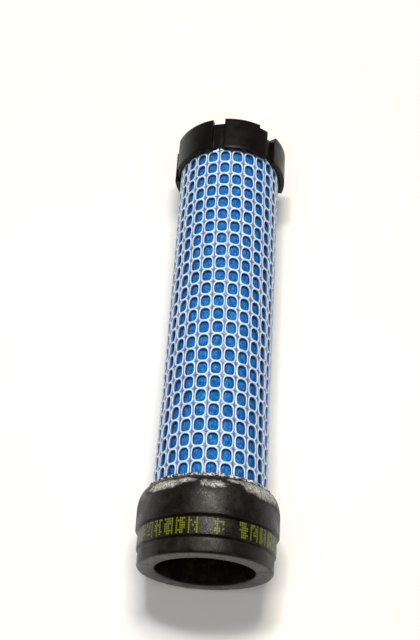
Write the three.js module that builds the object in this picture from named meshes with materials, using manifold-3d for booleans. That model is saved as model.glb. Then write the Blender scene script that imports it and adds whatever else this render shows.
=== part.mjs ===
// Inner (safety) element of a compressed-air intake filter: a felt tube held between a perforated
// core and a plastic net, with a moulded radial seal on the open end and a lugged cap on the other.
// Millimetres. The filter's axis lies along Y: the open mouth faces -Y and the closed cap +Y, +Z is up,
// and the origin is the middle of the whole element.

import * as THREE from 'three';
import { mergeVertices } from 'three/addons/utils/BufferGeometryUtils.js';
import Module from 'manifold-3d';

// ---- driving dimensions ------------------------------------------------------------------------

const LENGTH = 220;             // mouth face to the tips of the cap's lugs
const GAP = 0.3;                // left between pieces that touch

const SEAL_RADIUS = 31.2;       // widest band of the seal
const PRINT_BAND_RADIUS = 30.0; // middle band
const LIP_BAND_RADIUS = 29.3;   // band next to the mouth
const MOUTH_EDGE_RADIUS = 28.6;
const BORE_RADIUS = 21.5;       // the outlet tube pushes in here
const BORE_DEPTH = 24;
const BORE_CHAMFER = 0.9;
const SEAL_LENGTH = 33.5;
const POCKET_DEPTH = 27;        // the filter tube's end stands on this level
const LIP_BAND_END = 7.2;
const PRINT_BAND_END = 15.5;
const GROOVE_WIDTH = 0.5;
const GROOVE_DEPTH = 0.5;

const NET_RADIUS = 25.0;
const NET_THICKNESS = 1.5;
const FELT_THICKNESS = 2.0;
const SCRIM_THICKNESS = 0.7;
const CORE_THICKNESS = 1.2;
const TUBE_TOP = 206;           // the four tubes all end here, inside the cap

const CAP_RADIUS = 27.8;        // over the lugs
const CAP_CUP_RADIUS = 26.15;   // floor of the slots between the lugs
const LUG_START = 201;
const CUP_START = 203;
const PLATE_INNER = 213.5;
const PLATE_OUTER = 218.2;
const DISH_RADIUS = 17;         // shallow round recess in the closed end
const DISH_DEPTH = 1.6;
const KEY_NOTCH_RADIUS = 23.6;  // one slot is also cut into the end plate
const KEY_NOTCH_START = 215.4;

// Slots between the lugs, from and to, in degrees from the top of the element towards +X.
const SLOTS = [[-21, -8.5], [39, 49.5], [104, 119], [161.5, 176.5], [214, 226.5], [267, 286.5]];
const LOW_TIPS = [[29, 39], [49.5, 104]];  // here a lug ends flush with the end plate
const KEY_SLOT = 1;             // also cuts into the end plate

const FINE = 64;                // facets round the visible mouldings
const COARSE = 48;              // facets round the layers inside

// ---- levels that follow from them --------------------------------------------------------------

const TUBE_START = POCKET_DEPTH + GAP;
const NET_INNER = NET_RADIUS - NET_THICKNESS;
const FELT_RADIUS = NET_INNER - GAP;
const FELT_INNER = FELT_RADIUS - FELT_THICKNESS;
const SCRIM_RADIUS = FELT_INNER - GAP;
const SCRIM_INNER = SCRIM_RADIUS - SCRIM_THICKNESS;
const CORE_RADIUS = SCRIM_INNER - GAP;
const CORE_INNER = CORE_RADIUS - CORE_THICKNESS;
const POCKET_RADIUS = NET_RADIUS + GAP;

// ---- shape helpers -----------------------------------------------------------------------------

const wasm = await Module();
wasm.setup();

// Height along the axis, counted from the mouth, to Y.
const level = (fromMouth) => fromMouth - LENGTH / 2;

const radians = THREE.MathUtils.degToRad;

// Turns [radius, height from the mouth] points about the axis. The outside runs up, the inside down.
function turned(points, facets) {
  const profile = points.map(([radius, height]) => new THREE.Vector2(radius, level(height)));
  return new THREE.LatheGeometry(profile, facets);
}

function closedRing(points, facets) {
  return turned([...points, points[0]], facets);
}

function plainTube(inner, outer, low, high, facets) {
  return closedRing([[inner, low], [outer, low], [outer, high], [inner, high]], facets);
}

// A block between two radii and two angles (degrees from +Z towards +X), between two heights.
function sector(inner, outer, fromAngle, toAngle, low, high) {
  const start = radians(fromAngle - 90);
  const end = radians(toAngle - 90);
  const outline = new THREE.Shape();
  outline.absarc(0, 0, outer, start, end, false);
  outline.absarc(0, 0, inner, end, start, true);
  const steps = Math.max(2, Math.round((toAngle - fromAngle) / (360 / FINE)));
  const block = new THREE.ExtrudeGeometry(outline, {
    depth: high - low, bevelEnabled: false, curveSegments: steps,
  });
  return block.rotateX(-Math.PI / 2).translate(0, level(low), 0);
}

function toSolid(geometry) {
  const plain = geometry.clone();
  plain.deleteAttribute('normal');
  plain.deleteAttribute('uv');
  const merged = mergeVertices(plain, 1e-4);
  return new wasm.Manifold(new wasm.Mesh({
    numProp: 3,
    vertProperties: new Float32Array(merged.attributes.position.array),
    triVerts: new Uint32Array(merged.index.array),
  }));
}

function toGeometry(solid) {
  const mesh = solid.getMesh();
  const geometry = new THREE.BufferGeometry();
  geometry.setAttribute('position', new THREE.BufferAttribute(mesh.vertProperties, 3));
  geometry.setIndex(new THREE.BufferAttribute(mesh.triVerts, 1));
  geometry.computeVertexNormals();
  return geometry;
}

// Boundaries of alternating strips: a strand, then a window that is cut into some facets.
function strandBounds(start, strand, window, facets, count) {
  const bounds = [];
  for (let i = 0; i < count; i++) {
    const at = start + i * (strand + window);
    bounds.push({ at, open: false });
    for (let k = 0; k < facets; k++) {
      bounds.push({ at: at + strand + (k * window) / facets, open: true });
    }
  }
  return bounds;
}

// A sleeve with rectangular windows in rows and columns. Angles are in degrees and widths in mm.
function windowedSleeve({ inner, outer, low, high, columns, rows, strand, hoop, band, facets }) {
  const strandAngle = THREE.MathUtils.radToDeg(strand / outer);
  const around = strandBounds(0, strandAngle, 360 / columns - strandAngle, facets, columns);
  const windowHeight = (high - low - 2 * band - (rows - 1) * hoop) / rows;
  const along = [{ at: low, open: false }];
  for (let j = 0; j < rows; j++) {
    const start = low + band + j * (windowHeight + hoop);
    along.push({ at: start, open: true });
    along.push({ at: start + windowHeight, open: false });
  }
  const levels = [...along.map((step) => step.at), high];
  const count = around.length;
  const positions = [];
  for (const radius of [outer, inner]) {
    for (const height of levels) {
      for (const { at } of around) {
        const angle = radians(at);
        positions.push(radius * Math.sin(angle), level(height), radius * Math.cos(angle));
      }
    }
  }
  const skin = levels.length * count;
  const vertex = (side, i, j) => side * skin + j * count + (i % count);
  const isOpen = (i, j) => j < 0 || j >= along.length || (around[(i + count) % count].open && along[j].open);
  const indices = [];
  const quad = (a, b, c, d) => indices.push(a, b, c, a, c, d);
  for (let j = 0; j < along.length; j++) {
    for (let i = 0; i < count; i++) {
      if (isOpen(i, j)) continue;
      const corners = [[i, j], [i + 1, j], [i + 1, j + 1], [i, j + 1]];
      quad(...corners.map(([a, b]) => vertex(0, a, b)));
      quad(...corners.map(([a, b]) => vertex(1, a, b)).reverse());
      const neighbours = [[i, j - 1], [i + 1, j], [i, j + 1], [i - 1, j]];
      neighbours.forEach(([a, b], side) => {
        if (!isOpen(a, b)) return;
        const [from, to] = [corners[side], corners[(side + 1) % 4]];
        quad(vertex(0, ...to), vertex(0, ...from), vertex(1, ...from), vertex(1, ...to));
      });
    }
  }
  const geometry = new THREE.BufferGeometry();
  geometry.setAttribute('position', new THREE.Float32BufferAttribute(positions, 3));
  geometry.setIndex(indices);
  geometry.computeVertexNormals();
  return geometry;
}

// ---- the pieces --------------------------------------------------------------------------------

// The groove between two bands of the seal, from the lower band up to the next one.
function bandStep(height, below, above) {
  const floor = Math.min(below, above) - GROOVE_DEPTH;
  return [
    [below, height - GROOVE_WIDTH],
    [floor, height - GROOVE_WIDTH / 2],
    [floor, height],
    [above, height + GROOVE_WIDTH / 2],
  ];
}

// Soft urethane cast round the tube's end. Its bore is the radial seal.
function openEndSeal() {
  const shoulderStart = 24.5;
  const shoulderEndRadius = 27.4;
  const shoulder = [];
  for (const part of [0, 0.3, 0.55, 0.78, 1]) {
    const height = shoulderStart + part * (SEAL_LENGTH - shoulderStart);
    const drop = (SEAL_RADIUS - shoulderEndRadius) * (1 - Math.sqrt(1 - part * part));
    shoulder.push([SEAL_RADIUS - drop, height]);
  }
  return closedRing([
    [BORE_RADIUS + BORE_CHAMFER, 0],
    [MOUTH_EDGE_RADIUS, 0],
    [LIP_BAND_RADIUS, 1.8],
    ...bandStep(LIP_BAND_END, LIP_BAND_RADIUS, PRINT_BAND_RADIUS),
    ...bandStep(PRINT_BAND_END, PRINT_BAND_RADIUS, SEAL_RADIUS),
    ...shoulder,
    [POCKET_RADIUS, SEAL_LENGTH],
    [POCKET_RADIUS, POCKET_DEPTH],
    [CORE_INNER, POCKET_DEPTH],
    [CORE_INNER, BORE_DEPTH],
    [BORE_RADIUS, BORE_DEPTH],
    [BORE_RADIUS, BORE_CHAMFER],
  ], FINE);
}

// Rough ring of cured urethane that crept up the net above the seal.
function sealBead() {
  const low = SEAL_LENGTH + GAP;
  return closedRing([
    [POCKET_RADIUS, low],
    [27.0, low],
    [26.8, low + 1.0],
    [26.0, low + 2.0],
    [POCKET_RADIUS, low + 2.6],
  ], COARSE);
}

// Extruded plastic netting, at about twice the pitch of the real one: 25 strands and 27 hoops.
function outerNet() {
  return windowedSleeve({
    inner: NET_INNER, outer: NET_RADIUS, low: TUBE_START, high: TUBE_TOP,
    columns: 12, rows: 13, strand: 2.6, hoop: 2.6, band: 2.4, facets: 2,
  });
}

// The felt is a sheet rolled to a tube. Its two edges meet at a glued seam on the underside.
const SEAM_WIDTH = 2.4;

function feltWrap() {
  const tube = toSolid(plainTube(FELT_INNER, FELT_RADIUS, TUBE_START, TUBE_TOP, COARSE));
  const slit = new THREE.BoxGeometry(SEAM_WIDTH + 2 * GAP, LENGTH, FELT_RADIUS);
  slit.translate(0, 0, -FELT_RADIUS);
  return toGeometry(tube.subtract(toSolid(slit)));
}

function feltSeam() {
  const height = FELT_THICKNESS - GAP;
  const bead = new THREE.BoxGeometry(SEAM_WIDTH, TUBE_TOP - TUBE_START, height);
  return bead.translate(0, level((TUBE_TOP + TUBE_START) / 2), GAP / 2 + height / 2 - FELT_RADIUS);
}

function scrimLayer() {
  return plainTube(SCRIM_INNER, SCRIM_RADIUS, TUBE_START, TUBE_TOP, COARSE);
}

// Rigid cage that stops the felt being sucked flat.
function innerCore() {
  return windowedSleeve({
    inner: CORE_INNER, outer: CORE_RADIUS, low: TUBE_START, high: TUBE_TOP,
    columns: 6, rows: 8, strand: 5, hoop: 4.5, band: 6, facets: 3,
  });
}

// Potting that bonds all four tubes into the cap and closes the bore.
function capPotting() {
  const low = TUBE_TOP + GAP;
  const high = PLATE_INNER - GAP;
  return turned([[0, low], [NET_RADIUS, low], [NET_RADIUS, high], [0, high]], COARSE);
}

function closedEndCap() {
  const cup = turned([
    [0, PLATE_INNER],
    [POCKET_RADIUS, PLATE_INNER],
    [POCKET_RADIUS, CUP_START],
    [CAP_CUP_RADIUS, CUP_START],
    [CAP_CUP_RADIUS, PLATE_OUTER],
    [DISH_RADIUS, PLATE_OUTER],
    [DISH_RADIUS - DISH_DEPTH, PLATE_OUTER - DISH_DEPTH],
    [0, PLATE_OUTER - DISH_DEPTH],
  ], FINE);
  let cap = toSolid(cup);
  SLOTS.forEach(([, lugFrom], i) => {
    const lugTo = i + 1 < SLOTS.length ? SLOTS[i + 1][0] : SLOTS[0][0] + 360;
    const lug = sector(POCKET_RADIUS, CAP_RADIUS, lugFrom, lugTo, LUG_START, LENGTH);
    cap = cap.add(toSolid(lug));
  });
  for (const [from, to] of LOW_TIPS) {
    const tip = sector(CAP_CUP_RADIUS - 2, CAP_RADIUS + 1, from, to, PLATE_OUTER, LENGTH + 1);
    cap = cap.subtract(toSolid(tip));
  }
  const [from, to] = SLOTS[KEY_SLOT];
  const notch = sector(KEY_NOTCH_RADIUS, CAP_RADIUS + 1, from, to, KEY_NOTCH_START, LENGTH + 1);
  return toGeometry(cap.subtract(toSolid(notch)));
}

// ---- assembly ----------------------------------------------------------------------------------

const FINISHES = {
  blackUrethane: { color: 0x2a2624, roughness: 0.62, metalness: 0 },
  blackMoulding: { color: 0x17120f, roughness: 0.38, metalness: 0 },
  palePlastic: { color: 0xdfe3ee, roughness: 0.4, metalness: 0 },
  blueFelt: { color: 0x1f62b4, roughness: 0.95, metalness: 0 },
  whiteScrim: { color: 0xe6e6e2, roughness: 0.95, metalness: 0 },
  greyPlastic: { color: 0x3a3b3d, roughness: 0.5, metalness: 0 },
  curedResin: { color: 0x8f8b84, roughness: 0.7, metalness: 0 },
  clearGlue: { color: 0xc9c4ae, roughness: 0.35, metalness: 0 },
};

const element = new THREE.Group();

function place(name, geometry, finish) {
  const mesh = new THREE.Mesh(geometry, new THREE.MeshStandardMaterial(FINISHES[finish]));
  mesh.name = name;
  element.add(mesh);
}

place('open_end_seal', openEndSeal(), 'blackUrethane');
place('seal_bead', sealBead(), 'curedResin');
place('outer_net', outerNet(), 'palePlastic');
place('felt_wrap', feltWrap(), 'blueFelt');
place('felt_seam', feltSeam(), 'clearGlue');
place('scrim_layer', scrimLayer(), 'whiteScrim');
place('inner_core', innerCore(), 'greyPlastic');
place('cap_potting', capPotting(), 'curedResin');
place('closed_end_cap', closedEndCap(), 'blackMoulding');

export default element;
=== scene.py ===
# Looks of an inner (safety) air-filter element: felt tube under a plastic net, cast urethane seal on
# its open end, black moulded cap on its closed end. It lies on a white bench, mouth towards the viewer.

import math
import random

import bmesh
import bpy
from mathutils import Matrix, Vector, noise


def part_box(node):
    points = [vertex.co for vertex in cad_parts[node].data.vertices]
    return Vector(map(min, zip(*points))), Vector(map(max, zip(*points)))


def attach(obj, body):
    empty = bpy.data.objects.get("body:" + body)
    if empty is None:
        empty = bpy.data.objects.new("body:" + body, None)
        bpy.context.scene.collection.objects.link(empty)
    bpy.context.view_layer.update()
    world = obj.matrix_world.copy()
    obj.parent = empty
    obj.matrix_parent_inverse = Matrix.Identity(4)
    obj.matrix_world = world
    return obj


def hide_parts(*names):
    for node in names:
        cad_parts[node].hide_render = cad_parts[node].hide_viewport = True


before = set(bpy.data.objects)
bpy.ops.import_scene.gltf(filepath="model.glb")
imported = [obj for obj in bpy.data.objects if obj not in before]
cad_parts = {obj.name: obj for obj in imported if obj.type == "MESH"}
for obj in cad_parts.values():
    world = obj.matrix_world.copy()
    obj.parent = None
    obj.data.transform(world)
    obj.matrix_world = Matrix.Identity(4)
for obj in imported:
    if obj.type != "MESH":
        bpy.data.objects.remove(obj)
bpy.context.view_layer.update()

MM = 0.001
noise.seed_set(11)          # noise_vector would otherwise take its offsets from the clock

# ---- sizes, in millimetres from the mouth along the axis and from the axis outwards --------------

SEAL_LOW, SEAL_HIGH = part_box("open_end_seal")
CAP_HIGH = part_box("closed_end_cap")[1]
NET_LOW, NET_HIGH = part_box("outer_net")
CORE_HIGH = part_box("inner_core")[1]
FELT_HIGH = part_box("felt_wrap")[1]
SCRIM_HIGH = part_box("scrim_layer")[1]
POTTING_LOW, POTTING_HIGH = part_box("cap_potting")
BEAD_LOW, BEAD_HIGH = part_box("seal_bead")
MOUTH = SEAL_LOW.y


def from_mouth(y):
    return (y - MOUTH) / MM


LENGTH = from_mouth(CAP_HIGH.y)
SEAL_RADIUS = SEAL_HIGH.x / MM
SEAL_TOP = from_mouth(SEAL_HIGH.y)
NET_RADIUS = NET_HIGH.z / MM
TUBE_START = from_mouth(NET_LOW.y)
TUBE_TOP = from_mouth(NET_HIGH.y)
FELT_RADIUS = FELT_HIGH.z / MM
SCRIM_RADIUS = SCRIM_HIGH.z / MM
CORE_RADIUS = CORE_HIGH.z / MM
BEAD_RADIUS = BEAD_HIGH.z / MM
LUG_RADIUS = CAP_HIGH.z / MM

# The net is regular: 25 strands round the tube and a hoop every 6.75 mm, with a slight twist.
NET_COLUMNS = 25
NET_ROWS = 27
NET_PITCH = 6.75
NET_FIRST_ROW = 199.5 + NET_PITCH
NET_TURN = math.radians(-6.8)
NET_TWIST = math.radians(0.275)
NET_DEPTH = 1.6
NET_OUTSIDE = NET_RADIUS - 0.25


# ---- mesh helpers ---------------------------------------------------------------------------------

def at(radius, height, angle):
    """A point from its radius and height in mm and its angle from the top towards +X."""
    return Vector((radius * math.sin(angle) * MM, MOUTH + height * MM, radius * math.cos(angle) * MM))


def turned(profile, steps, closed=True, start=0.0):
    """A profile of (radius, height) points spun once round the axis, from an angle in degrees."""
    bm = bmesh.new()
    verts = [bm.verts.new(at(radius, height, math.radians(start))) for radius, height in profile]
    edges = [bm.edges.new(pair) for pair in zip(verts, verts[1:])]
    if closed:
        edges.append(bm.edges.new((verts[-1], verts[0])))
    bmesh.ops.spin(bm, geom=verts + edges, cent=(0, 0, 0), axis=(0, 1, 0), dvec=(0, 0, 0),
                   angle=2 * math.pi, steps=steps, use_merge=True, use_duplicate=False)
    bmesh.ops.remove_doubles(bm, verts=bm.verts, dist=1e-7)
    bmesh.ops.recalc_face_normals(bm, faces=bm.faces)
    return bm


def arc(centre, radius, start, end, steps):
    """Points of an arc in the (radius, height) plane, angles in degrees from outwards towards the cap."""
    points = []
    for i in range(steps + 1):
        angle = math.radians(start + (end - start) * i / steps)
        points.append((centre[0] + radius * math.cos(angle), centre[1] + radius * math.sin(angle)))
    return points


def polar(co):
    """Radius and height in mm and angle of a vertex."""
    return math.hypot(co.x, co.z) / MM, from_mouth(co.y), math.atan2(co.x, co.z)


def finish_piece(bm, name, node, material):
    """The object of a mesh, smooth shaded, riding the one body in place of its CAD node."""
    mesh = bpy.data.meshes.new(name)
    bm.to_mesh(mesh)
    bm.free()
    piece = bpy.data.objects.new(name, mesh)
    bpy.context.scene.collection.objects.link(piece)
    mesh.materials.append(material)
    mesh.polygons.foreach_set("use_smooth", [True] * len(mesh.polygons))
    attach(piece, "root")
    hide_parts(node)
    return piece


def bevel_sharp(bm, angle, offset, segments=2):
    """Rounds every edge whose faces meet at more than an angle in degrees."""
    sharp = [edge for edge in bm.edges if edge.calc_face_angle(0) > math.radians(angle)]
    bmesh.ops.bevel(bm, geom=sharp, offset=offset * MM, segments=segments, profile=0.5,
                    affect="EDGES", material=-1, clamp_overlap=True)


# ---- material helpers -----------------------------------------------------------------------------

def colour(code):
    """sRGB hex to linear RGBA."""
    parts = [int(code[i:i + 2], 16) / 255 for i in (1, 3, 5)]
    return [part / 12.92 if part <= 0.04045 else ((part + 0.055) / 1.055) ** 2.4 for part in parts] + [1]


def add(tree, kind, inputs=None, stops=None, **settings):
    """Adds a node with its settings, its values or links, and the stops of a ramp."""
    made = tree.nodes.new(kind)
    for name, value in settings.items():
        setattr(made, name, value)
    for socket, value in (inputs or {}).items():
        if isinstance(value, bpy.types.NodeSocket):
            tree.links.new(value, made.inputs[socket])
        else:
            made.inputs[socket].default_value = value
    if stops:
        elements = made.color_ramp.elements
        for i, (place, shade) in enumerate(stops):
            element = elements[i] if i < 2 else elements.new(place)
            element.position = place
            element.color = shade
    return made


def new_material(name, **surface):
    """A material with its Principled surface, whose fixed values are set by name."""
    material = bpy.data.materials.new(name)
    material.use_nodes = True
    tree = material.node_tree
    shader = tree.nodes["Principled BSDF"]
    for socket, value in surface.items():
        shader.inputs[socket.replace("_", " ")].default_value = value
    place = add(tree, "ShaderNodeTexCoord").outputs["Object"]
    return material, tree, shader, place


def cycles_per(millimetres):
    """Scale of a texture on Object coordinates whose features are this far apart."""
    return 1 / (millimetres * MM)


# ---- materials ------------------------------------------------------------------------------------

def felt_material():
    """Needled polyester felt, dyed blue: matt, mottled where fibres bunch, with pale stray fibres."""
    material, tree, shader, place = new_material(
        "needled_blue_felt", Roughness=0.95, IOR=1.45, Specular_IOR_Level=0.2)
    clumps = add(tree, "ShaderNodeTexNoise", {"Vector": place, "Scale": cycles_per(2.6), "Detail": 4.0,
                                              "Roughness": 0.65})
    stretched = add(tree, "ShaderNodeMapping", {"Vector": place, "Scale": (1.0, 0.45, 1.0),
                                                "Rotation": (0.5, 0.3, 0.7)})
    fibres = add(tree, "ShaderNodeTexNoise", {"Vector": stretched.outputs[0], "Scale": cycles_per(0.75),
                                              "Detail": 3.0, "Roughness": 0.7, "Distortion": 1.2})
    body = add(tree, "ShaderNodeValToRGB", {"Fac": clumps.outputs["Fac"]},
               stops=[(0.32, colour("#0a4a96")), (0.52, colour("#1666b4")), (0.70, colour("#2b90cc"))])
    flecks = add(tree, "ShaderNodeValToRGB", {"Fac": fibres.outputs["Fac"]},
                 stops=[(0.36, colour("#063580")), (0.53, colour("#186fbe")), (0.70, colour("#74c2e8"))])
    mixed = add(tree, "ShaderNodeMix", {"Factor": 0.55, "A": body.outputs[0], "B": flecks.outputs[0]},
                data_type="RGBA")
    relief = add(tree, "ShaderNodeBump", {"Height": fibres.outputs["Fac"], "Strength": 0.8,
                                          "Distance": 0.5 * MM})
    tree.links.new(mixed.outputs["Result"], shader.inputs["Base Color"])
    tree.links.new(relief.outputs[0], shader.inputs["Normal"])
    return material


def net_material():
    """Extruded polyethylene netting: milky beads, clearer and greyer where it thins between them."""
    material, tree, shader, place = new_material("extruded_milky_netting", Roughness=0.26, IOR=1.51)
    ridge = add(tree, "ShaderNodeAttribute", attribute_name="ridge")
    cloud = add(tree, "ShaderNodeTexNoise", {"Vector": place, "Scale": cycles_per(4), "Detail": 4.0,
                                             "Roughness": 0.6})
    spread = add(tree, "ShaderNodeMath", {0: cloud.outputs["Fac"], 1: 0.5, 2: -0.25},
                 operation="MULTIPLY_ADD")
    height = add(tree, "ShaderNodeMath", {0: ridge.outputs["Fac"], 1: spread.outputs[0]}, operation="ADD")
    tint = add(tree, "ShaderNodeValToRGB", {"Fac": height.outputs[0]},
               stops=[(0.0, colour("#2458a0")), (0.22, colour("#4c6a98")), (0.60, colour("#7386ab")),
                      (0.94, colour("#cfe2f6"))])
    skin = add(tree, "ShaderNodeTexNoise", {"Vector": place, "Scale": cycles_per(0.8), "Detail": 2.0})
    relief = add(tree, "ShaderNodeBump", {"Height": skin.outputs["Fac"], "Strength": 0.25,
                                          "Distance": 0.15 * MM})
    tree.links.new(tint.outputs[0], shader.inputs["Base Color"])
    tree.links.new(relief.outputs[0], shader.inputs["Normal"])
    return material


def seal_material():
    """Cast urethane rubber: near black with a fine skin, handling dust, a lighter mouth face that is part
    dust film and part painted sheen, and an inked dot code.
    """
    material, tree, shader, place = new_material("cast_urethane_rubber", IOR=1.5, Specular_IOR_Level=0.4)
    flat = add(tree, "ShaderNodeUVMap", uv_map="wrap").outputs[0]
    dust_mask = add(tree, "ShaderNodeAttribute", attribute_name="dust").outputs["Fac"]
    mottle = add(tree, "ShaderNodeTexNoise", {"Vector": place, "Scale": cycles_per(5), "Detail": 6.0,
                                              "Roughness": 0.7})
    grain = add(tree, "ShaderNodeTexNoise", {"Vector": place, "Scale": cycles_per(0.9), "Detail": 4.0,
                                             "Roughness": 0.75})
    rubber = add(tree, "ShaderNodeValToRGB", {"Fac": mottle.outputs["Fac"]},
                 stops=[(0.35, colour("#0e0b09")), (0.55, colour("#17130e")), (0.75, colour("#2f291f"))])
    # painted sheen: the flat mouth face is mixed to a lighter grey (#33302c), part thin dust film and part
    # painted sheen
    face_dust_film_and_sheen = add(tree, "ShaderNodeAttribute", attribute_name="dust_film_and_sheen").outputs["Fac"]
    dust_film_and_sheen_mixed = add(tree, "ShaderNodeMix", {"Factor": face_dust_film_and_sheen, "A": rubber.outputs[0],
                                         "B": colour("#33302c")}, data_type="RGBA")
    # dust lies where the mask is high, in patches with a broken edge
    patch = add(tree, "ShaderNodeMath", {0: mottle.outputs["Fac"], 1: dust_mask}, operation="ADD")
    broken = add(tree, "ShaderNodeMath", {0: grain.outputs["Fac"], 1: 0.45, 2: patch.outputs[0]},
                 operation="MULTIPLY_ADD")
    cover = add(tree, "ShaderNodeMapRange", {"Value": broken.outputs[0], "From Min": 1.06, "From Max": 1.38})
    curls = add(tree, "ShaderNodeTexNoise", {"Vector": place, "Scale": cycles_per(3.2), "Detail": 4.0,
                                             "Roughness": 0.65, "Distortion": 2.2})
    dust = add(tree, "ShaderNodeValToRGB", {"Fac": curls.outputs["Fac"]},
               stops=[(0.36, colour("#5b5953")), (0.46, colour("#8b8a85")), (0.50, colour("#efefec")),
                      (0.54, colour("#7b7973")), (0.62, colour("#a9a8a2"))])
    dusty = add(tree, "ShaderNodeMix", {"Factor": cover.outputs[0], "A": dust_film_and_sheen_mixed.outputs["Result"],
                                        "B": dust.outputs[0]}, data_type="RGBA")
    inked = ink_marks(tree, flat, grain)
    printed = add(tree, "ShaderNodeMix", {"Factor": inked, "A": dusty.outputs["Result"],
                                          "B": colour("#6f7815")}, data_type="RGBA")
    rough = add(tree, "ShaderNodeMapRange", {"Value": broken.outputs[0], "From Min": 0.6, "From Max": 1.3,
                                             "To Min": 0.24, "To Max": 0.80})
    relief = add(tree, "ShaderNodeBump", {"Height": broken.outputs[0], "Strength": 0.5,
                                          "Distance": 0.4 * MM})
    tree.links.new(printed.outputs["Result"], shader.inputs["Base Color"])
    tree.links.new(rough.outputs[0], shader.inputs["Roughness"])
    tree.links.new(relief.outputs[0], shader.inputs["Normal"])
    return material


# The code on the middle band is abstract: blocks of five by seven dots, switched on at random.
MARK_PITCH = 5.4
MARK_WIDTH = 4.2
MARK_LOW = 7.9
MARK_HEIGHT = 6.9
MARK_COLUMNS = 5
MARK_ROWS = 7


def ink_marks(tree, flat, grain):
    """Ink cover from 0 to 1, on UV in millimetres round the seal and along its axis."""
    def maths(operation, *values):
        return add(tree, "ShaderNodeMath", dict(enumerate(values)), operation=operation).outputs[0]

    parts = add(tree, "ShaderNodeSeparateXYZ", {"Vector": flat})
    block = maths("DIVIDE", parts.outputs["X"], MARK_PITCH)
    number = maths("FLOOR", block)
    across = maths("MULTIPLY", maths("FRACT", block), MARK_PITCH / MARK_WIDTH * MARK_COLUMNS)
    up = maths("MULTIPLY", maths("SUBTRACT", parts.outputs["Y"], MARK_LOW), MARK_ROWS / MARK_HEIGHT)
    column, row = maths("FLOOR", across), maths("FLOOR", up)
    inside = maths("MULTIPLY", maths("LESS_THAN", across, MARK_COLUMNS),
                   maths("MULTIPLY", maths("GREATER_THAN", up, 0.0), maths("LESS_THAN", up, MARK_ROWS)))
    stroke = add(tree, "ShaderNodeCombineXYZ", {"X": number, "Y": column})
    dot = add(tree, "ShaderNodeCombineXYZ", {"X": number, "Y": column, "Z": row})
    block_draw = add(tree, "ShaderNodeTexWhiteNoise", {"W": number},
                     noise_dimensions="1D").outputs["Value"]
    stroke_draw = add(tree, "ShaderNodeTexWhiteNoise", {"Vector": stroke.outputs[0]}).outputs["Value"]
    dot_draw = add(tree, "ShaderNodeTexWhiteNoise", {"Vector": dot.outputs[0]}).outputs["Value"]
    chosen = maths("MAXIMUM", maths("GREATER_THAN", stroke_draw, 0.50),
                   maths("GREATER_THAN", dot_draw, 0.60))
    present = maths("MULTIPLY", chosen, maths("GREATER_THAN", block_draw, 0.08))
    off_x = maths("SUBTRACT", maths("FRACT", across), 0.5)
    off_y = maths("SUBTRACT", maths("FRACT", up), 0.5)
    reach = maths("SQRT", maths("ADD", maths("MULTIPLY", off_x, off_x), maths("MULTIPLY", off_y, off_y)))
    round_dot = add(tree, "ShaderNodeMapRange",
                    {"Value": reach, "From Min": 0.52, "From Max": 0.38}).outputs[0]
    worn = add(tree, "ShaderNodeMapRange", {"Value": grain.outputs["Fac"], "From Min": 0.3, "From Max": 0.55,
                                            "To Min": 0.45, "To Max": 0.95}).outputs[0]
    return maths("MULTIPLY", maths("MULTIPLY", present, inside), maths("MULTIPLY", round_dot, worn))


def crust_material():
    """Cured urethane foam and dust, torn and crumbly: chalky white and near-black in random spots."""
    material, tree, shader, place = new_material("cured_urethane_crust", Roughness=0.9, IOR=1.45)
    lumps = add(tree, "ShaderNodeTexVoronoi", {"Vector": place, "Scale": cycles_per(1.1), "Randomness": 1.0})
    spots = add(tree, "ShaderNodeTexNoise", {"Vector": place, "Scale": cycles_per(1.6), "Detail": 5.0,
                                             "Roughness": 0.75})
    tone = add(tree, "ShaderNodeValToRGB", {"Fac": spots.outputs["Fac"]},
               stops=[(0.42, colour("#1b1817")), (0.50, colour("#716e69")), (0.57, colour("#f2f1ee"))])
    relief = add(tree, "ShaderNodeBump", {"Height": lumps.outputs["Distance"], "Strength": 0.8,
                                          "Distance": 0.5 * MM}, invert=True)
    tree.links.new(tone.outputs[0], shader.inputs["Base Color"])
    tree.links.new(relief.outputs[0], shader.inputs["Normal"])
    return material


def cap_material():
    """Injection-moulded nylon: brown black, half glossy, with faint flow marks."""
    material, tree, shader, place = new_material("moulded_black_nylon", IOR=1.5, Specular_IOR_Level=0.25)
    drift = add(tree, "ShaderNodeTexNoise", {"Vector": place, "Scale": cycles_per(9), "Detail": 5.0,
                                             "Roughness": 0.6})
    grain = add(tree, "ShaderNodeTexNoise", {"Vector": place, "Scale": cycles_per(0.6), "Detail": 3.0})
    tone = add(tree, "ShaderNodeValToRGB", {"Fac": drift.outputs["Fac"]},
               stops=[(0.35, colour("#0b0706")), (0.55, colour("#100b09")), (0.78, colour("#1b1410"))])
    rough = add(tree, "ShaderNodeMapRange", {"Value": drift.outputs["Fac"], "From Min": 0.3,
                                             "From Max": 0.75, "To Min": 0.28, "To Max": 0.5})
    relief = add(tree, "ShaderNodeBump", {"Height": grain.outputs["Fac"], "Strength": 0.15,
                                          "Distance": 0.1 * MM})
    tree.links.new(tone.outputs[0], shader.inputs["Base Color"])
    tree.links.new(rough.outputs[0], shader.inputs["Roughness"])
    tree.links.new(relief.outputs[0], shader.inputs["Normal"])
    return material


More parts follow.
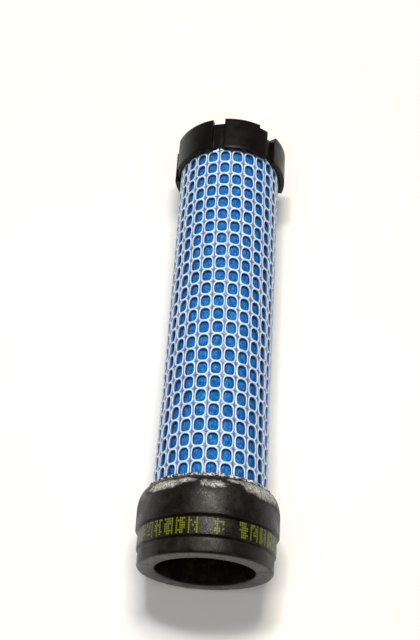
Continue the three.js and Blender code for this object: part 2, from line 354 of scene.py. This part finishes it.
def scrim_material():
    """Spun-bonded nonwoven: thin white fibres pressed flat, so it is matt and slightly cloudy."""
    material, tree, shader, place = new_material("spun_bonded_scrim", Roughness=0.95, IOR=1.5,
                                                 Sheen_Weight=0.2)
    web = add(tree, "ShaderNodeTexNoise", {"Vector": place, "Scale": cycles_per(1.2), "Detail": 5.0,
                                           "Roughness": 0.8, "Distortion": 2.0})
    tone = add(tree, "ShaderNodeValToRGB", {"Fac": web.outputs["Fac"]},
               stops=[(0.35, colour("#b9b8b2")), (0.6, colour("#ecebe6"))])
    relief = add(tree, "ShaderNodeBump", {"Height": web.outputs["Fac"], "Strength": 0.4,
                                          "Distance": 0.2 * MM})
    tree.links.new(tone.outputs[0], shader.inputs["Base Color"])
    tree.links.new(relief.outputs[0], shader.inputs["Normal"])
    return material


def core_material():
    """Moulded polypropylene, charcoal, with the dull even skin of a sparked mould."""
    material, tree, shader, place = new_material("moulded_charcoal_polypropylene", IOR=1.49)
    spark = add(tree, "ShaderNodeTexNoise", {"Vector": place, "Scale": cycles_per(0.5), "Detail": 2.0})
    drift = add(tree, "ShaderNodeTexNoise", {"Vector": place, "Scale": cycles_per(12), "Detail": 3.0})
    tone = add(tree, "ShaderNodeValToRGB", {"Fac": drift.outputs["Fac"]},
               stops=[(0.35, colour("#2a2b2d")), (0.65, colour("#3f4144"))])
    rough = add(tree, "ShaderNodeMapRange", {"Value": spark.outputs["Fac"], "To Min": 0.4, "To Max": 0.65})
    relief = add(tree, "ShaderNodeBump", {"Height": spark.outputs["Fac"], "Strength": 0.3,
                                          "Distance": 0.08 * MM})
    tree.links.new(tone.outputs[0], shader.inputs["Base Color"])
    tree.links.new(rough.outputs[0], shader.inputs["Roughness"])
    tree.links.new(relief.outputs[0], shader.inputs["Normal"])
    return material


def glue_material():
    """Hot-melt glue: amber, waxy and a little see-through."""
    material, tree, shader, place = new_material("amber_hot_melt", Roughness=0.3, IOR=1.48,
                                                 Subsurface_Weight=0.2)
    swirl = add(tree, "ShaderNodeTexNoise", {"Vector": place, "Scale": cycles_per(3), "Detail": 3.0,
                                             "Distortion": 1.0})
    tone = add(tree, "ShaderNodeValToRGB", {"Fac": swirl.outputs["Fac"]},
               stops=[(0.35, colour("#b9a877")), (0.65, colour("#dccfa6"))])
    tree.links.new(tone.outputs[0], shader.inputs["Base Color"])
    return material


def bench_material():
    """White laminate bench top: almost even, with faint broad drifts in tone and gloss."""
    material, tree, shader, place = new_material("white_laminate", IOR=1.5)
    drift = add(tree, "ShaderNodeTexNoise", {"Vector": place, "Scale": 9.0, "Detail": 3.0})
    tone = add(tree, "ShaderNodeValToRGB", {"Fac": drift.outputs["Fac"]},
               stops=[(0.3, colour("#efefee")), (0.7, colour("#f6f6f5"))])
    rough = add(tree, "ShaderNodeMapRange", {"Value": drift.outputs["Fac"], "To Min": 0.42, "To Max": 0.55})
    tree.links.new(tone.outputs[0], shader.inputs["Base Color"])
    tree.links.new(rough.outputs[0], shader.inputs["Roughness"])
    return material


# ---- pieces ---------------------------------------------------------------------------------------

def net_spot(across, along):
    """Angle and height of a point of the net: across counts strands, along counts rows from the cap."""
    angle = NET_TURN + across * 2 * math.pi / NET_COLUMNS + NET_TWIST * (along - 1)
    return angle, NET_FIRST_ROW - along * NET_PITCH


def tube_swell(height):
    """The tube widens a little where it enters the seal."""
    rest = max(0.0, min(1.0, (85 - height) / 50))
    return 0.6 * rest * rest * (3 - 2 * rest)


# Outlines of one opening of the net, from the bottom of its wall to the top of the bead round it:
# half width and half height in pitches, squareness, and height in mm.
OPENING_OUTLINES = [(0.375, 0.430, 3.4, -NET_DEPTH), (0.370, 0.430, 3.4, -0.34), (0.388, 0.445, 3.6, -0.04),
                    (0.432, 0.474, 4.2, -0.05)]
ARCH = 0.8                  # the end towards the cap is rounder
OPENING_POINTS = 24
CREASE_HEIGHT = -0.65       # between two openings side by side
HOOP_HEIGHT = -0.12         # between two openings in one column
CROSSING_HEIGHT = -1.00     # where four openings meet
RIDGE_DEPTH = 1.1           # a strand's colour fades over this depth


def net_tile():
    """One opening of the net, flat and one pitch square."""
    bm = bmesh.new()
    circle = bmesh.ops.create_circle(bm, segments=OPENING_POINTS, radius=1.0)["verts"]
    directions = [vert.co.copy() for vert in circle]

    def shape(verts, spot_of):
        for vert in verts:
            x, y = vert.co.x, vert.co.y
            direction = max(directions, key=lambda each: each.x * x + each.y * y)
            vert.co = spot_of(direction)

    def opening(wide, high, power, height):
        def spot(direction):
            bend = power * (ARCH if direction.y > 0 else 1)
            reach = (abs(direction.x) ** bend + abs(direction.y) ** bend) ** (-1 / bend)
            return Vector((direction.x * reach * wide, direction.y * reach * high, height))
        return spot

    def border(direction):
        spot = direction * 0.5 / max(abs(direction.x), abs(direction.y))
        corner = min(abs(spot.x), abs(spot.y)) / 0.5
        plain = HOOP_HEIGHT if abs(spot.y) > 0.499 else CREASE_HEIGHT
        spot.z = plain + (CROSSING_HEIGHT - plain) * corner ** 3
        return spot

    def back(direction):
        spot = border(direction)
        spot.z = -NET_DEPTH
        return spot

    def widened(edges):
        grown = bmesh.ops.extrude_edge_only(bm, edges=edges)["geom"]
        return ([item for item in grown if isinstance(item, bmesh.types.BMVert)],
                [item for item in grown if isinstance(item, bmesh.types.BMEdge)])

    edges = rim = list(bm.edges)
    shape(circle, opening(*OPENING_OUTLINES[0]))
    for outline in OPENING_OUTLINES[1:]:
        verts, edges = widened(edges)
        shape(verts, opening(*outline))
    verts, edges = widened(edges)
    shape(verts, border)
    verts, edges = widened(rim)
    shape(verts, back)
    tile = bpy.data.meshes.new("net_tile")
    bm.to_mesh(tile)
    bm.free()
    return tile


def wander(angle, height, size, seed):
    """A slow random shift in mm, the same each run, that repeats round the tube."""
    spot = Vector((math.sin(angle) * 2.2, math.cos(angle) * 2.2, height / 14 + seed))
    return noise.noise_vector(spot) * size


def outer_net():
    tile = net_tile()
    bm = bmesh.new()
    for row in range(NET_ROWS):
        for column in range(NET_COLUMNS):
            known = len(bm.verts)
            bm.from_mesh(tile)
            bm.verts.ensure_lookup_table()
            bmesh.ops.translate(bm, verts=bm.verts[known:], vec=(column, -row, 0))
    ridge = bm.verts.layers.float.new("ridge")
    for vert in bm.verts:
        across, along, lift = vert.co
        angle, height = net_spot(across, -along)
        vert[ridge] = max(0.0, 1 + lift / (RIDGE_DEPTH if lift > CROSSING_HEIGHT - 0.01 else NET_DEPTH))
        shift = wander(angle, height, 0.22, 3)
        radius = NET_OUTSIDE + lift + tube_swell(height) + 0.4 * shift.z
        vert.co = at(radius, height + shift.y, angle + shift.x / NET_RADIUS)
    bmesh.ops.remove_doubles(bm, verts=bm.verts, dist=0.01 * MM)
    for height, side in ((TUBE_TOP, 1), (TUBE_START + 1.6, -1)):
        cut = bmesh.ops.bisect_plane(bm, geom=bm.verts[:] + bm.edges[:] + bm.faces[:], dist=1e-7,
                                     plane_co=at(0, height, 0), plane_no=(0, side, 0), clear_outer=True)
        ends = [item for item in cut["geom_cut"] if isinstance(item, bmesh.types.BMEdge)]
        bmesh.ops.holes_fill(bm, edges=ends, sides=0)
    bmesh.ops.recalc_face_normals(bm, faces=bm.faces)
    bpy.data.meshes.remove(tile)
    return finish_piece(bm, "net_sleeve", "outer_net", net_material())


def felt_wrap():
    """The felt is pressed down under the strands and swells a little into each opening."""
    samples = 6
    top, bottom = TUBE_TOP - 0.1, TUBE_START + 0.2
    around, down = NET_COLUMNS * samples, NET_ROWS * samples
    bm = bmesh.new()
    bmesh.ops.create_grid(bm, x_segments=around, y_segments=down, size=0.5)
    for vert in bm.verts:
        angle = (vert.co.x + 0.5) * 2 * math.pi
        height = bottom + (vert.co.y + 0.5) * (top - bottom)
        along = (NET_FIRST_ROW - height) / NET_PITCH
        across = (angle - net_spot(0, along)[0]) * NET_COLUMNS / (2 * math.pi)
        away = max(abs(across - round(across)), abs(along - round(along)))
        swell = max(0.0, 1 - away / 0.40)
        seam = max(0.0, 1 - abs(angle - math.pi) * FELT_RADIUS / 2.6)
        rough = wander(angle, height, 0.15, 9).z + 0.10 * noise.noise(vert.co * 130)
        radius = FELT_RADIUS - 0.35 + 0.25 * swell * (2 - swell) + tube_swell(height) + rough - 0.5 * seam
        vert.co = at(radius, height, angle)
    bmesh.ops.remove_doubles(bm, verts=bm.verts, dist=0.01 * MM)
    bmesh.ops.recalc_face_normals(bm, faces=bm.faces)
    felt = finish_piece(bm, "felt_tube", "felt_wrap", felt_material())
    wall = felt.modifiers.new("thickness", "SOLIDIFY")
    wall.thickness = 1.7 * MM
    wall.offset = -1
    return felt


def felt_seam():
    """A wavy bead of glue along the joint of the felt, on the underside."""
    width, height = 2.3, 1.5
    length = TUBE_TOP - TUBE_START - 0.6
    bm = bmesh.new()
    bmesh.ops.create_cone(bm, cap_ends=True, segments=12, radius1=0.5, radius2=0.5, depth=length)
    sides = [edge for edge in bm.edges if abs(edge.verts[0].co.z - edge.verts[1].co.z) > 1]
    bmesh.ops.subdivide_edges(bm, edges=sides, cuts=70)
    for vert in bm.verts:
        along = TUBE_START + 0.3 + vert.co.z + length / 2
        fat = 1 + 0.16 * noise.noise(Vector((0, 0, along / 3.5)))
        side = vert.co.x * width * fat + 0.3 * noise.noise(Vector((5, 0, along / 9)))
        vert.co = at(FELT_RADIUS - 0.75 + vert.co.y * height * fat, along, math.pi + side / FELT_RADIUS)
    bmesh.ops.recalc_face_normals(bm, faces=bm.faces)
    return finish_piece(bm, "felt_glue_seam", "felt_seam", glue_material())


def scrim_layer():
    thickness = (SCRIM_RADIUS - CORE_RADIUS) - 0.3
    inner = SCRIM_RADIUS - thickness
    rows = 90
    heights = [TUBE_START + (TUBE_TOP - TUBE_START) * i / rows for i in range(rows + 1)]
    outside = [(SCRIM_RADIUS - 0.05, height) for height in heights]
    inside = [(inner, height) for height in reversed(heights)]
    bm = turned(outside + inside, 96)
    for vert in bm.verts:
        radius, height, angle = polar(vert.co)
        vert.co = at(radius + 0.05 * noise.noise(vert.co / (3 * MM)), height, angle)
    return finish_piece(bm, "scrim_tube", "scrim_layer", scrim_material())


def inner_core():
    """Cage of six ribs and nine hoops with rounded windows between them."""
    columns, rows, facets, steps = 6, 8, 10, 8
    band, pitch = 6.0, (TUBE_TOP - TUBE_START - 12 + 4.5) / 8
    thickness = 1.2
    bm = bmesh.new()
    bmesh.ops.create_grid(bm, x_segments=columns * facets, y_segments=rows * steps + 4, size=0.5)
    total = rows * steps + 4
    doomed = []
    for face in bm.faces:
        middle = face.calc_center_median()
        i = int((middle.x + 0.5) * columns * facets) % facets
        j = int((middle.y + 0.5) * total) - 3
        if i >= 2 and 0 <= j < rows * steps - 1 and j % steps < steps - 2:
            doomed.append(face)
    bmesh.ops.delete(bm, geom=doomed, context="FACES")
    corners = [vert for vert in bm.verts if vert.is_boundary and len(vert.link_edges) == 4
               and len(vert.link_faces) == 3]
    bmesh.ops.bevel(bm, geom=corners, offset=0.012, segments=3, profile=0.5, affect="VERTICES", material=-1)
    for vert in bm.verts:
        height = TUBE_START + (vert.co.y + 0.5) * (TUBE_TOP - TUBE_START)
        vert.co = at(CORE_RADIUS - 0.02, height, (vert.co.x + 0.5) * 2 * math.pi)
    bmesh.ops.remove_doubles(bm, verts=bm.verts, dist=0.01 * MM)
    bmesh.ops.recalc_face_normals(bm, faces=bm.faces)
    core = finish_piece(bm, "core_cage", "inner_core", core_material())
    wall = core.modifiers.new("thickness", "SOLIDIFY")
    wall.thickness = thickness * MM
    wall.offset = -1
    edge = core.modifiers.new("edges", "BEVEL")
    edge.width = 0.25 * MM
    edge.segments = 2
    edge.limit_method = "ANGLE"
    edge.angle_limit = math.radians(50)
    return core


def cap_potting():
    """Poured resin, a little higher where it wets the tubes' wall."""
    low, high = from_mouth(POTTING_LOW.y), from_mouth(POTTING_HIGH.y)
    radius = POTTING_HIGH.z / MM
    rings = [(radius * i / 40, low + 0.5 - 0.5 * (i / 40) ** 6) for i in range(41)]
    profile = rings + [(radius, high), (0, high)]
    bm = turned(profile, 72, closed=False)
    for vert in bm.verts:
        if from_mouth(vert.co.y) < low + 1:
            vert.co.y += 0.12 * MM * noise.noise(vert.co / (6 * MM))
        else:
            vert.co.y += cap_lean(vert.co.z)
    return finish_piece(bm, "potting_disc", "cap_potting", crust_material())


# ---- seal -----------------------------------------------------------------------------------------

LIP_BAND, PRINT_BAND = 29.3, 30.0
LIP_END, PRINT_END = 7.2, 15.5
BORE, BORE_DEPTH, POCKET_DEPTH = 21.5, 24.0, 27.0
MOUTH_EDGE = 28.6


SHOULDER_START = 24.0       # above this the widest ring rounds over into a dome
SHOULDER_INNER = 27.0


def seal_profile():
    points = arc((BORE + 0.9, 0.9), 0.9, 180, 270, 5)
    points += arc((MOUTH_EDGE - 0.6, 1.3), 1.3, 270, 350, 6)
    points += [(LIP_BAND - 0.05, 2.6), (LIP_BAND, 4.6)]
    points += arc((LIP_BAND - 0.5, LIP_END - 0.75), 0.5, 0, 80, 4)
    points += [(LIP_BAND - 0.55, LIP_END), (PRINT_BAND - 0.6, LIP_END + 0.1)]
    points += arc((PRINT_BAND - 0.4, LIP_END + 0.65), 0.4, 280, 360, 4)
    points += [(PRINT_BAND + 0.02, LIP_END + 3), (PRINT_BAND, PRINT_END - 2.4)]
    points += arc((PRINT_BAND - 0.35, PRINT_END - 0.75), 0.35, 0, 80, 4)
    points += [(PRINT_BAND - 0.5, PRINT_END), (SEAL_RADIUS - 1.2, PRINT_END + 0.1)]
    points += arc((SEAL_RADIUS - 0.7, PRINT_END + 0.95), 0.7, 280, 360, 5)
    points += [(SEAL_RADIUS, PRINT_END + 4)]
    for i in range(13):
        turn = math.radians(90 * i / 12)
        points.append((SHOULDER_INNER + (SEAL_RADIUS - SHOULDER_INNER) * math.cos(turn),
                       SHOULDER_START + (SEAL_TOP - SHOULDER_START) * math.sin(turn)))
    pocket = NET_RADIUS + 0.7
    points += [(pocket, SEAL_TOP - 0.1), (pocket, POCKET_DEPTH), (CORE_RADIUS - 1.2, POCKET_DEPTH),
               (CORE_RADIUS - 1.2, BORE_DEPTH), (BORE, BORE_DEPTH)]
    points += [(BORE, height) for height in (20, 16, 12, 8, 4, 2)]
    return points


# Patches of dust and torn skin: angle and height of the middle, half widths in degrees and mm, weight.
DUST_PATCHES = [
    (-42, 29.2, 19, 2.6, 0.80), (-20, 30.6, 12, 1.6, 0.62), (2, 29.0, 13, 2.4, 0.66),
    (30, 31.6, 22, 1.6, 0.62), (52, 29.5, 26, 3.6, 0.82), (88, 28.0, 26, 5.0, 0.60),
    (-88, 24.0, 20, 7.0, 0.42), (130, 29.0, 30, 3.0, 0.66), (185, 30.0, 26, 2.6, 0.60),
    (235, 29.0, 24, 3.0, 0.70),
]


def seal_dust(radius, height, angle):
    """How much dust lies here: patches on the shoulder, a little on the lip, hardly any elsewhere."""
    if radius < BORE + 0.1:
        return 0.0
    cover = 0.14 if 1.5 < height < LIP_END else 0.04
    for middle, level, wide, high, weight in DUST_PATCHES:
        off = math.remainder(math.degrees(angle) - middle, 360) / wide
        away = off * off + ((height - level) / high) ** 2
        cover = max(cover, weight * max(0.0, 1 - away / 1.6))
    return cover


def open_end_seal():
    bm = turned(seal_profile(), 160)
    dust = bm.verts.layers.float.new("dust")
    dust_film_and_sheen = bm.verts.layers.float.new("dust_film_and_sheen")
    for vert in bm.verts:
        radius, height, angle = polar(vert.co)
        vert[dust] = seal_dust(radius, height, angle)
        # the flat mouth face is marked for its lighter grey, part dust film and part painted sheen
        vert[dust_film_and_sheen] = 1.0 if height < 0.3 else 0.0
        if radius > BORE + 1:
            soft = wander(angle, height, 0.28, 21).z
            radius += min(0.0, soft - 0.03)
            vert.co = at(radius, height, angle)
    wrap = bm.loops.layers.uv.new("wrap")
    for face in bm.faces:
        centre = polar(face.calc_center_median())[2]
        for loop in face.loops:
            _, height, angle = polar(loop.vert.co)
            turn = centre + math.remainder(angle - centre, 2 * math.pi)
            inside = polar(face.calc_center_median())[0] < BORE + 1
            loop[wrap].uv = (turn * PRINT_BAND + 100, height + (60 if inside else 0))
    return finish_piece(bm, "seal_moulding", "open_end_seal", seal_material())


CRUMB_ROOM = 1.3            # the ring itself stays this much lower than the box its crumbs reach into


def seal_bead():
    """Torn ring of cured foam round the net, with crumbs standing on it."""
    low, high = from_mouth(BEAD_LOW.y), from_mouth(BEAD_HIGH.y) - CRUMB_ROOM
    inner = NET_RADIUS + 0.5
    profile = [(inner - 0.4, low)] + [
        (inner + (BEAD_RADIUS + 0.1 - inner) * math.cos(math.radians(90 * i / 7)),
         low + (high - low) * math.sin(math.radians(90 * i / 7))) for i in range(8)] + [(inner - 0.4, high)]
    bm = turned(profile, 220)
    for vert in bm.verts:
        radius, height, angle = polar(vert.co)
        rough = noise.noise(vert.co / (1.1 * MM)) + 0.8 * noise.noise(vert.co / (0.5 * MM))
        vert.co = at(radius + 0.32 * rough, height + 0.42 * rough * (height > low + 0.1), angle)
    draw = random.Random(7)
    for _ in range(420):
        known = len(bm.verts)
        size = draw.uniform(0.22, 0.62) * MM
        bmesh.ops.create_icosphere(bm, subdivisions=1, radius=size)
        bm.verts.ensure_lookup_table()
        crumb = bm.verts[known:]
        radius = draw.uniform(inner - 0.1, BEAD_RADIUS + 0.2)
        height = low + (high - low) * draw.uniform(0.1, 1.05) * (1 - 0.5 * (radius - inner) / 2)
        spot = at(radius, height, draw.uniform(0, 2 * math.pi))
        stretch = Matrix.Diagonal((draw.uniform(0.6, 1.5), draw.uniform(0.6, 1.5),
                                   draw.uniform(0.5, 1.2))).to_4x4()
        spin = Matrix.Rotation(draw.uniform(0, 6.3), 4,
                               Vector((draw.random(), draw.random(), draw.random())))
        bmesh.ops.transform(bm, matrix=Matrix.Translation(spot) @ spin @ stretch, verts=crumb)
    return finish_piece(bm, "seal_crust", "seal_bead", crust_material())


# ---- cap ------------------------------------------------------------------------------------------

CUP_RADIUS = 26.15
CUP_INNER = 25.3
CUP_START = 204.2
PLATE_INNER, PLATE_OUTER = 213.5, 218.2
DISH_RADIUS, DISH_DEPTH = 17.0, 1.6
NOTCH_RADIUS, NOTCH_START = 23.6, 215.4
CAP_STEPS = 144
CAP_TURN = -1.0             # the steps start here, in degrees
LUG_HEIGHT = 17.4
CAP_LEAN = 0.05             # the cap sits a little askew: its underside is nearer to the mouth
SLOTS = [(-21, -8.5), (39, 49.5), (104, 119), (161.5, 176.5), (214, 226.5), (267, 286.5)]
KEY_SLOT = SLOTS[1]         # also cut into the end plate
LOW_TIPS = [(29, 39), (49.5, 104)]


def within(angle, ranges):
    """Whether an angle in degrees lies in one of the ranges."""
    return any((angle - start) % 360 < end - start for start, end in ranges)


def cap_lean(z):
    """How far the cap's askew seat moves a point towards the mouth."""
    return CAP_LEAN * (z - LUG_RADIUS * MM)


def closed_end_cap():
    """A plain cup is spun first, and the lugs grow out of its wall between the slots."""
    dish = PLATE_OUTER - DISH_DEPTH
    profile = [
        (0, PLATE_INNER), (CUP_INNER, PLATE_INNER), (CUP_INNER, CUP_START), (CUP_RADIUS, CUP_START),
        (CUP_RADIUS, NOTCH_START), (CUP_RADIUS, PLATE_OUTER), (CUP_INNER, PLATE_OUTER),
        (NOTCH_RADIUS, PLATE_OUTER), (DISH_RADIUS, PLATE_OUTER), (DISH_RADIUS - DISH_DEPTH, dish),
        (4.2, dish), (3.8, dish - 0.5), (1.4, dish - 0.5), (1.2, dish + 0.3), (0, dish + 0.3),
    ]
    bm = turned(profile, CAP_STEPS, closed=False, start=CAP_TURN)
    for degrees in (KEY_SLOT[0] + 0.4, KEY_SLOT[1] - 0.4):
        turn = math.radians(degrees)
        bmesh.ops.bisect_plane(bm, geom=bm.verts[:] + bm.edges[:] + bm.faces[:], dist=1e-7,
                               plane_co=(0, 0, 0), plane_no=(math.cos(turn), 0, -math.sin(turn)))

    def faces_where(test):
        chosen = []
        for face in bm.faces:
            radius, height, angle = polar(face.calc_center_median())
            if test(radius, height, math.degrees(angle)):
                chosen.append(face)
        return chosen

    def grow(faces, move):
        grown = bmesh.ops.extrude_face_region(bm, geom=faces)["geom"]
        for vert in [item for item in grown if isinstance(item, bmesh.types.BMVert)]:
            radius, height, angle = polar(vert.co)
            vert.co = at(*move(radius, height), angle)
        bmesh.ops.delete(bm, geom=faces, context="FACES_ONLY")

    wall = faces_where(lambda r, h, a: r > CUP_RADIUS - 0.2 and CUP_START < h < PLATE_OUTER - 0.1
                       and not within(a, SLOTS))
    grow(wall, lambda r, h: (LUG_RADIUS, h))
    tips = faces_where(lambda r, h, a: r > CUP_INNER and h > PLATE_OUTER - 0.01
                       and not within(a, SLOTS + LOW_TIPS))
    grow(tips, lambda r, h: (r, LENGTH))
    feet = faces_where(lambda r, h, a: r > CUP_INNER and h < CUP_START + 0.01 and not within(a, SLOTS))
    grow(feet, lambda r, h: (r, LENGTH - LUG_HEIGHT))
    for vert in bm.verts:
        radius, height, angle = polar(vert.co)
        cut = (math.degrees(angle) - KEY_SLOT[0]) % 360
        in_slot = 0.2 < cut < KEY_SLOT[1] - KEY_SLOT[0] - 0.2
        if in_slot and height > PLATE_OUTER - 0.01 and radius > CUP_INNER - 0.1:
            vert.co = at(NOTCH_RADIUS + 0.05 * (radius - NOTCH_RADIUS), NOTCH_START, angle)
    for vert in bm.verts:
        vert.co.y += cap_lean(vert.co.z)
    bmesh.ops.remove_doubles(bm, verts=bm.verts, dist=0.01 * MM)
    bmesh.ops.recalc_face_normals(bm, faces=bm.faces)
    bevel_sharp(bm, 40, 0.32)
    return finish_piece(bm, "cap_moulding", "closed_end_cap", cap_material())


open_end_seal()
seal_bead()
outer_net()
felt = felt_wrap()
felt_seam()
scrim = scrim_layer()
inner_core()
cap_potting()
closed_end_cap()


# ---- bench, light and camera ----------------------------------------------------------------------

def bench():
    """The bench touches the seal's widest ring and the cap's lowest lug, so it leans to the axis."""
    front = Vector((0, MOUTH + 24.5 * MM, -SEAL_RADIUS * MM))
    back = Vector((0, CAP_HIGH.y, -LUG_RADIUS * MM))
    lean = math.atan2(back.z - front.z, back.y - front.y)
    bm = bmesh.new()
    bmesh.ops.create_grid(bm, x_segments=8, y_segments=8, size=1.6)
    below = Matrix.Translation(front - Vector((0, 0, 0.05 * MM)))
    bmesh.ops.transform(bm, verts=bm.verts, matrix=below @ Matrix.Rotation(lean, 4, "X"))
    mesh = bpy.data.meshes.new("bench_top")
    bm.to_mesh(mesh)
    bm.free()
    top = bpy.data.objects.new("bench_top", mesh)
    bpy.context.scene.collection.objects.link(top)
    mesh.materials.append(bench_material())


def soft_light(name, place, size, power, shade, mirrored=True):
    """A soft box aimed at the middle of the element; unless mirrored it leaves no reflection."""
    light = bpy.data.lights.new(name, "AREA")
    light.shape = "RECTANGLE"
    light.size, light.size_y = size
    light.energy = power
    light.color = colour(shade)[:3]
    lamp = bpy.data.objects.new(name, light)
    lamp.location = place
    lamp.rotation_euler = (-Vector(place)).to_track_quat("-Z", "Y").to_euler()
    lamp.visible_glossy = mirrored
    bpy.context.scene.collection.objects.link(lamp)


def surroundings():
    """A pale backdrop that adds little light of its own, so dark pieces keep their depth."""
    world = bpy.data.worlds.new("bright_room")
    world.use_nodes = True
    background = world.node_tree.nodes["Background"]
    background.inputs["Color"].default_value = colour("#f1f1ef")
    seen = world.node_tree.nodes.new("ShaderNodeLightPath").outputs["Is Camera Ray"]
    strength = add(world.node_tree, "ShaderNodeMapRange", {"Value": seen, "To Min": 0.07, "To Max": 0.9})
    world.node_tree.links.new(strength.outputs[0], background.inputs["Strength"])
    bpy.context.scene.world = world
    bpy.context.scene.view_settings.view_transform = "Standard"


def camera():
    """Above the mouth's end, looking down and towards the cap."""
    lens = bpy.data.cameras.new("camera")
    lens.lens = 61.5
    lens.sensor_width = 36
    view = bpy.data.objects.new("camera", lens)
    view.location = (0, -0.2336, 0.4586)
    view.rotation_euler = [math.radians(angle) for angle in (28.07, -1.21, 3.47)]
    bpy.context.scene.collection.objects.link(view)
    bpy.context.scene.camera = view


bench()
surroundings()
soft_light("ceiling", (0.04, 0.26, 1.0), (0.26, 0.20), 6.4, "#fff8ec")
soft_light("window", (-0.14, 0.22, 1.0), (0.10, 0.10), 3.5, "#ffffff", mirrored=False)
soft_light("room", (-0.1, -0.55, 1.1), (1.4, 1.0), 7.5, "#fbfaf4", mirrored=False)
camera()
